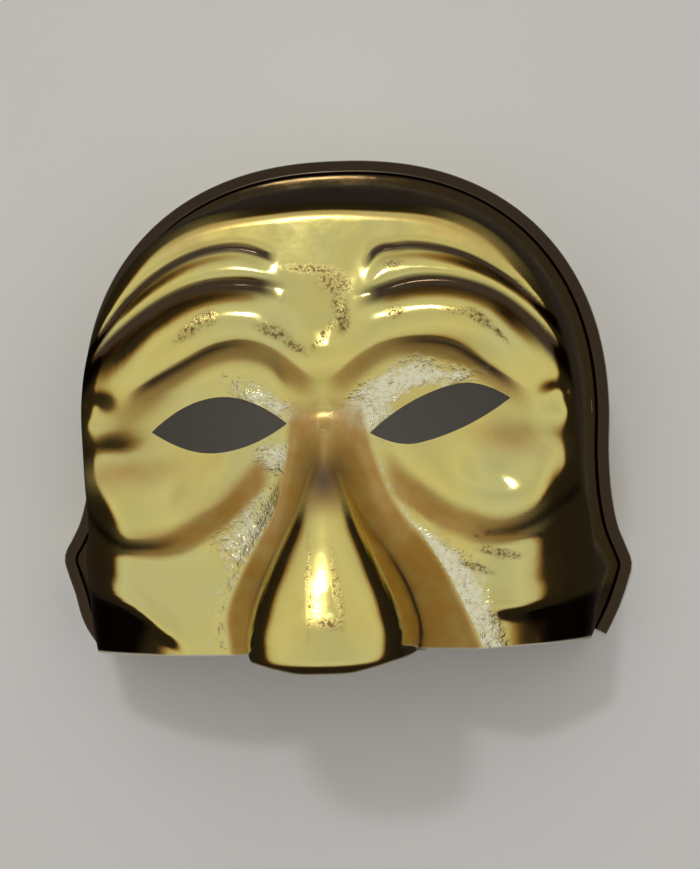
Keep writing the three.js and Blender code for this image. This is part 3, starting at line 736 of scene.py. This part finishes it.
# %% Silvery wear with painted highlight: patches round the eyes, partly worn film and partly painted highlight, and a painted highlight strip along the cheek crest
# Each patch is a strength, then its place, half length, half width and its turn in degrees.
WEAR_AND_HIGHLIGHT_PATCHES = (
    (1.0, (17, 10, 16, 4, 32)), (0.7, (14, 3, 6, 7)), (0.8, (34, 14, 13, 2.6, 3)),
    (0.7, (-17, 8, 13, 3.5, -30)), (0.9, (-15.5, -8, 6, 4, 25)),
    (0.6, (-25, -29, 13, 7, 55)), (0.4, (38, -42, 12, 6, -35)),
)
# Strength of the painted highlight strip along the cheek crest, right then left.
CREST_HIGHLIGHT = (0.8, 0.2)

def silver_wear_and_highlight(x, y):
    beyond = out_of_crest(x, y)
    # A painted highlight strip along the cheek crest.
    strip = plateau(beyond, 0.2, 0.8 + 6.5 * ease(-20, -55, y), 0.8, 3) * ease(-4, -12, y)
    patches = sum(strength * patch(x, y, *where) for strength, where in WEAR_AND_HIGHLIGHT_PATCHES)
    return np.clip(patches + strip * right_or_left(CREST_HIGHLIGHT, x), 0, 1)

# %% Brown crazing: oval spots on the brow and cheek, and streaks down the nose
# Each is a place, a half length, a half width and a turn in degrees.
CRAZED_SPOTS = (
    (4.5, 42.5, 6, 4, -20), (6, 34, 2.6, 7, 10), (1, 27.5, 6, 1.6, 50), (-14, 29, 6, 2.2, -28),
    (-2, 47, 10, 1.6, -5), (-8, 24.5, 5, 1.4, -32), (-38, 31, 7, 2.2, 38), (-33, 33.5, 2.5, 3, -50),
    (22.5, 33.6, 3.4, 2), (47, 31, 5, 1.8, -35), (52, 27, 5, 0.9, -48), (40, 33.2, 5, 1, -8),
    (47, -33, 6, 1, 8), (50, -39, 7, 1.6, -12), (43, -43, 6, 1.2, -20), (22, 47.4, 3.2, 1.4),
)
NOSE_STREAKS = ((-4.2, -45, 0.9, 14), (4.4, -47, 1.2, 12, 8), (1.5, -56, 4, 2.4))

def crazing(x, y):
    return most(*(patch(x, y, *where) for where in CRAZED_SPOTS + NOSE_STREAKS))

# %% The lip painted dark brown low down near the table, and the edges where the film is rubbed off
def lip_darkening(z):
    return ease(4.2, 2.8, z)

def bare_edge(x, y, z):
    away = np.full(x.shape, 9.0)
    for at_x, at_y in outline:
        away = np.minimum(away, np.hypot(x - at_x, y - at_y))
    lip = 0.6 * ease(0.15, 0.05, away) * (z < 3)
    cut = ease(0.5, 0.25, y + LOWER_CUT(np.abs(x))) * (z > 6)
    return np.maximum(lip, cut)

# %% Paint each kind onto the mesh
def paint(thing, name, values):
    layer = thing.data.attributes.new(name, "FLOAT", "POINT")
    layer.data.foreach_set("value", np.asarray(values, np.float32))
    print(name, "covers", round(100 * float(values.mean()), 1), "% of the points")

x, y, z = spot.T
# Dark brown painted shade in the hollows.
paint(mask, "painted_shade", painted_shade(x, y))
# Amber painted shade on the slopes and along the top edge.
paint(mask, "amber_shade", amber_shade(x, y))
# Silvery wear, partly painted highlight.
paint(mask, "silver_wear_and_highlight", silver_wear_and_highlight(x, y))
paint(mask, "crazed", crazing(x, y))
# Dark brown painted on the lip.
paint(mask, "dark_lip", lip_darkening(z))
paint(mask, "bare", bare_edge(x, y, z))

# %% [markdown]
# ## The gold film
# Plated plastic is a mirror with a yellow tint. Base Color sets the tint, Metallic 1 makes it a metal and
# a low roughness keeps the reflections sharp. Slow noise changes tint and roughness a little, as the film
# does, and a faint bump gives the orange peel of formed plastic. Where the amber painted shade or bare
# plastic covers the film, Metallic falls, so the spot shows its own colour more than the room.

# %% Small tools for building a material
class Wiring:
    """Adds nodes to a material and joins them; an input may be a number, a colour or another output."""

    def __init__(self, material):
        material.use_nodes = True
        self.tree = material.node_tree
        self.shader = self.tree.nodes["Principled BSDF"]
        self.place = self.add("ShaderNodeTexCoord").outputs["Object"]

    def add(self, kind, **settings):
        node = self.tree.nodes.new(kind)
        for key, value in settings.items():
            setattr(node, key, value)
        return node

    def feed(self, target, value):
        if isinstance(value, bpy.types.NodeSocket):
            self.tree.links.new(value, target)
        else:
            target.default_value = value

    def noise(self, size_mm, detail=2, rough=0.5):
        node = self.add("ShaderNodeTexNoise")
        self.feed(node.inputs["Vector"], self.place)
        node.inputs["Scale"].default_value = 1 / (size_mm * MM)
        node.inputs["Detail"].default_value = detail
        node.inputs["Roughness"].default_value = rough
        return node.outputs["Fac"]

    def painted(self, name):
        return self.add("ShaderNodeAttribute", attribute_name=name).outputs["Fac"]

    def range(self, value, low, high, start=0.0, end=1.0):
        node = self.add("ShaderNodeMapRange", interpolation_type="SMOOTHSTEP")
        names = ("Value", "From Min", "From Max", "To Min", "To Max")
        for name, item in zip(names, (value, low, high, start, end)):
            self.feed(node.inputs[name], item)
        return node.outputs["Result"]

    def calculate(self, kind, a, b):
        node = self.add("ShaderNodeMath", operation=kind)
        self.feed(node.inputs[0], a)
        self.feed(node.inputs[1], b)
        return node.outputs[0]

    def times(self, a, b):
        return self.calculate("MULTIPLY", a, b)

    def plus(self, a, b):
        return self.calculate("ADD", a, b)

    def less(self, a, b):
        return self.calculate("SUBTRACT", a, b)

    def larger(self, a, b):
        return self.calculate("MAXIMUM", a, b)

    def blend(self, share, a, b):
        node = self.add("ShaderNodeMix", data_type="RGBA")
        self.feed(node.inputs["Factor"], share)
        self.feed(node.inputs["A"], a)
        self.feed(node.inputs["B"], b)
        return node.outputs["Result"]

    def bump(self, height):
        node = self.add("ShaderNodeBump")
        node.inputs["Distance"].default_value = BUMP_DISTANCE
        node.inputs["Strength"].default_value = BUMP_STRENGTH
        self.feed(node.inputs["Height"], height)
        self.feed(self.shader.inputs["Normal"], node.outputs["Normal"])

# %% Colours of the film, the painted shade, the wear and the plastic
BUMP_DISTANCE = 0.05 * MM
BUMP_STRENGTH = 0.3
GOLD = (0.73, 0.62, 0.19, 1)
GREEN_GOLD = (0.66, 0.60, 0.23, 1)
# Amber: a random warm tone, and the colour of the amber painted shade
AMBER_TONE_AND_SHADE = (0.55, 0.30, 0.055, 1)
# Dark brown of the painted shade in the hollows
SHADE_BROWN = (0.064, 0.042, 0.024, 1)
# Pale silver of the wear and of the painted highlight
SILVER_WEAR_AND_HIGHLIGHT = (0.90, 0.87, 0.62, 1)
CREAM = (0.62, 0.58, 0.46, 1)
BROWN = (0.17, 0.10, 0.035, 1)
# Dark brown painted on the lip
DARK_LIP_BROWN = (0.05, 0.034, 0.02, 1)

# %% How much of the amber painted shade, the silvery wear with its painted highlight and the crazing shows; fine noise breaks up the soft painted patches
def amber_shade_amount(w):
    return w.times(w.painted("amber_shade"), w.range(w.noise(7, 3), 0.2, 0.7, 0.65, 1.0))

def wear_and_highlight_flakes(w, covered):
    """Flakes only where the silvery wear and painted highlight lie, and none under the amber painted shade.
    """
    flakes_of_wear_and_highlight = w.plus(w.painted("silver_wear_and_highlight"), w.times(w.noise(3, 4, 0.7), 1.6))
    flakes_of_wear_and_highlight = w.range(flakes_of_wear_and_highlight, 0.95, 1.6)
    flakes_of_wear_and_highlight = w.times(flakes_of_wear_and_highlight, w.range(w.painted("silver_wear_and_highlight"), 0.02, 0.2))
    return w.times(flakes_of_wear_and_highlight, w.less(1.0, covered))

def crazed_film(w):
    """Broken pieces of film where crazing is painted."""
    broken = w.range(w.plus(w.painted("crazed"), w.noise(2.4, 5, 0.75)), 0.55, 1.35)
    return w.times(broken, w.range(w.painted("crazed"), 0.02, 0.5))

# %% Gold film
def finish_gold(material):
    w = Wiring(material)
    amber_shade_here = amber_shade_amount(w)
    flakes_of_wear_and_highlight = wear_and_highlight_flakes(w, amber_shade_here)
    wrinkles = w.range(w.noise(1.4, 5, 0.75), 0.38, 0.55)
    seams = w.range(w.noise(1.7, 5, 0.75), 0.36, 0.44, 0.55, 0.0)
    broken = crazed_film(w)
    cracks = w.range(w.noise(1.0, 5, 0.8), 0.42, 0.60)
    crazed_here = w.times(broken, w.range(cracks, 0, 1, 0.2, 1.0))

    # The tint: from the plain film up through the painted shade, the silvery wear with painted highlight and
    # the crazing to what lies on top.
    warm = w.times(w.range(w.noise(22, 3), 0.5, 0.75), 0.2)
    tint = w.blend(w.range(w.noise(30), 0.35, 0.65), GOLD, GREEN_GOLD)
    # Random warm tone, and the amber painted shade.
    tint = w.blend(w.larger(warm, amber_shade_here), tint, AMBER_TONE_AND_SHADE)
    # Dark painted shade in the furrows, creases, on the bridge and in the lower corners.
    tint = w.blend(w.painted("painted_shade"), tint, SHADE_BROWN)
    # Silvery wear with painted highlight.
    tint = w.blend(w.times(flakes_of_wear_and_highlight, w.range(wrinkles, 0, 1, 0.5, 1.0)), tint, SILVER_WEAR_AND_HIGHLIGHT)
    tint = w.blend(w.times(flakes_of_wear_and_highlight, seams), tint, BROWN)
    tint = w.blend(crazed_here, tint, BROWN)
    # Dark brown painted on the lip.
    tint = w.blend(w.painted("dark_lip"), tint, DARK_LIP_BROWN)
    tint = w.blend(w.painted("bare"), tint, CREAM)
    w.feed(w.shader.inputs["Base Color"], tint)

    # Less of a metal wherever bare plastic, the amber painted shade or the silver covers the film.
    covered = w.larger(w.painted("bare"), w.times(w.painted("amber_shade"), 0.85))
    covered = w.larger(covered, w.times(flakes_of_wear_and_highlight, 0.25))
    w.feed(w.shader.inputs["Metallic"], w.less(1.0, covered))

    # Duller where it is crazed or under the amber painted shade.
    dull = w.range(w.noise(9, 3), 0.3, 0.7, 0.09, 0.15)
    w.feed(w.shader.inputs["Roughness"], w.plus(dull, w.times(w.larger(crazed_here, amber_shade_here), 0.3)))

    # Orange peel all over, wrinkled foil in the silvery wear and painted highlight, cracks in the crazing.
    foil = w.times(flakes_of_wear_and_highlight, w.plus(w.times(w.noise(1.9, 3, 0.6), 36.0), wrinkles))
    orange_peel = w.noise(2.2, 2)
    w.bump(w.plus(w.plus(orange_peel, foil), w.times(w.times(broken, cracks), -0.8)))

finish_gold(gold)
print("gold film:", len(gold.node_tree.nodes), "nodes")

# %% [markdown]
# ## The bare plastic
# Inside and along every cut the off-white sheet itself shows. It is no metal: faintly mottled and satin.

# %% Bare plastic
DIRTY_CREAM = (0.44, 0.39, 0.28, 1)

def finish_plastic(material):
    w = Wiring(material)
    tint = w.blend(w.range(w.noise(12, 3), 0.35, 0.7), CREAM, DIRTY_CREAM)
    w.feed(w.shader.inputs["Base Color"], tint)
    w.feed(w.shader.inputs["Roughness"], w.range(w.noise(4), 0.3, 0.7, 0.38, 0.55))
    w.bump(w.noise(1.2, 3))

finish_plastic(plastic)
print("bare plastic:", len(plastic.node_tree.nodes), "nodes")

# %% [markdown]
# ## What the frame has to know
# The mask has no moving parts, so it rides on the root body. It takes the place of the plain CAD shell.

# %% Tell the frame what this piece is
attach(mask, "root")
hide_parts("mask_shell")

# %% [markdown]
# ## Floor and light
# A mirror shows the room. The room here is bright overhead and dark near the floor, which gives pale gold
# where the face looks up and dark brown on its steep walls. The bright part leans a little toward the
# forehead, so the lower side of every fold turns dark first, as in the photograph. One small lamp makes the
# sharp highlights. The floor isn't mirrored in the mask, because the photographed one is on a black ground.

# %% Floor
FLOOR_SIZE = 6
PAPER = ((0.90, 0.90, 0.88, 1), (0.94, 0.94, 0.92, 1))

def finish_paper(material):
    w = Wiring(material)
    w.feed(w.shader.inputs["Base Color"], w.blend(w.noise(60, 3), *PAPER))
    w.shader.inputs["Roughness"].default_value = 0.8

bpy.ops.mesh.primitive_plane_add(size=FLOOR_SIZE, location=(0, 0, low[2]))
floor = bpy.context.object
floor.name = "floor"
floor.visible_glossy = False
paper = bpy.data.materials.new("pale_floor")
finish_paper(paper)
floor.data.materials.append(paper)

# %% Room light: a colour for each height in the room, from the floor up to straight overhead
SKY_TURN = math.radians(11)
ROOM_BELOW = (0.022, 0.017, 0.017)
SKY = (
    (0.52, (0.03, 0.021, 0.02)),
    (0.60, (0.34, 0.20, 0.10)),
    (0.70, (0.66, 0.65, 0.62)),
    (0.84, (0.77, 0.77, 0.77)),
    (0.96, (0.70, 0.70, 0.70)),
)
ROOM_OVERHEAD = (0.66, 0.66, 0.66)

def light_room():
    room = bpy.data.worlds.new("studio")
    room.use_nodes = True
    nodes = room.node_tree.nodes
    direction = nodes.new("ShaderNodeTexCoord")
    along = nodes.new("ShaderNodeVectorMath")
    along.operation = "DOT_PRODUCT"
    along.inputs[1].default_value = (0, math.sin(SKY_TURN), math.cos(SKY_TURN))
    ramp = nodes.new("ShaderNodeValToRGB")
    ramp.color_ramp.elements[0].color = (*ROOM_BELOW, 1)
    ramp.color_ramp.elements[1].color = (*ROOM_OVERHEAD, 1)
    for stop, light in SKY:
        ramp.color_ramp.elements.new(stop).color = (*light, 1)
    links = room.node_tree.links
    links.new(direction.outputs["Generated"], along.inputs[0])
    links.new(along.outputs["Value"], ramp.inputs[0])
    links.new(ramp.outputs[0], nodes["Background"].inputs[0])
    return room

bpy.context.scene.world = light_room()

# %% One small lamp over the forehead
LAMP = {"place": (-0.2, 0.72, 1.3), "aim": (0, 0, 0.04), "wide": 0.2, "high": 0.1, "watts": 2.4}

def hang_lamp():
    light = bpy.data.lights.new("key", "AREA")
    light.shape = "RECTANGLE"
    light.energy = LAMP["watts"]
    light.size = LAMP["wide"]
    light.size_y = LAMP["high"]
    holder = bpy.data.objects.new("key", light)
    holder.location = LAMP["place"]
    toward = Vector(LAMP["aim"]) - Vector(LAMP["place"])
    holder.rotation_euler = toward.to_track_quat("-Z", "Y").to_euler()
    bpy.context.scene.collection.objects.link(holder)

hang_lamp()
print("lamp and room light are in place")

# %% [markdown]
# ## Camera
# The camera stands straight over the mask, a little to the viewer's right, and is rolled as the photo is.
# Its distance keeps the nose from looking too large. The lens and the shifts put the eye line on the same
# pixel as in the photograph, so both pictures can be laid over each other.

# %% Where the camera stands
YAW = math.radians(6)
PITCH = math.radians(2)
ROLL = math.radians(2)
DISTANCE = 1.25
PHOTO_WIDE, PHOTO_HIGH = 700, 869
MM_PER_PIXEL = 0.31
EYE_LINE_PIXEL = (345, 420)
SENSOR = 36.0

# %% Camera over the mask
back = Vector((math.sin(YAW) * math.cos(PITCH), math.sin(PITCH), math.cos(YAW) * math.cos(PITCH)))
right = Vector((0, 1, 0)).cross(back).normalized()
up = back.cross(right)
turned_right = right * math.cos(ROLL) - up * math.sin(ROLL)
turned_up = right * math.sin(ROLL) + up * math.cos(ROLL)
stand = Matrix((turned_right, turned_up, back)).transposed().to_4x4()
eye_line = Vector((TO_FRAME[0], TO_FRAME[1], 0))
stand.translation = eye_line + back * DISTANCE

view = bpy.data.cameras.new("view")
view.sensor_width = SENSOR
view.lens = SENSOR * DISTANCE / (PHOTO_HIGH * MM_PER_PIXEL * MM)
view.shift_x = (PHOTO_WIDE / 2 - EYE_LINE_PIXEL[0]) / PHOTO_HIGH
view.shift_y = (EYE_LINE_PIXEL[1] - PHOTO_HIGH / 2) / PHOTO_HIGH
camera = bpy.data.objects.new("camera", view)
camera.matrix_world = stand
bpy.context.scene.collection.objects.link(camera)
bpy.context.scene.camera = camera
bpy.context.scene.view_settings.view_transform = "Standard"
print("camera lens:", round(view.lens, 1), "mm")
